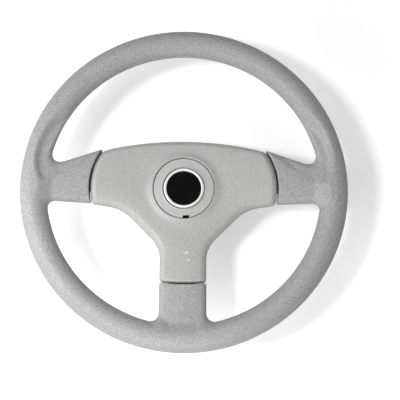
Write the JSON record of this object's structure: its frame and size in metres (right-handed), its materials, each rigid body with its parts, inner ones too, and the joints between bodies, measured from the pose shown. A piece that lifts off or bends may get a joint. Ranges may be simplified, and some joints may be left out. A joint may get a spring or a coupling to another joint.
{
  "type": "boat steering wheel",
  "caption": "Round boat steering wheel with a soft rim, spokes in a T, a shallow dished centre cover, a snap-in cap and a rear collar around a tapered hub.",
  "frame": {"origin": "on the wheel's axis, in the plane of the rear collar's rim, which the wheel rests on", "axes": "+Z along the wheel's axis towards the driver, +Y to the top of the wheel, +X to its right as seen by the driver"},
  "size_m": [0.35, 0.35, 0.0882],
  "materials": {
    "soft_grip": "satin, fine leather grain",
    "shell": "satin, fine spark-eroded grain",
    "cap": "satin",
    "badge_metal": "satin, turned",
    "badge_black": "gloss",
    "armature": "matt moulded",
    "hub_metal": "as cast",
    "steel": "satin"
  },
  "bodies": {
    "root": {"rim_grip": "soft_grip", "front_cover": "shell", "rear_cover": "shell", "centre_cap": "cap", "badge_ring": "badge_metal", "badge_dome": "badge_black", "armature": "armature", "hub_adapter": "hub_metal", "hub_plate": "steel", "hub_screws": "steel", "cover_screws": "steel"}
  },
  "joints": []
}
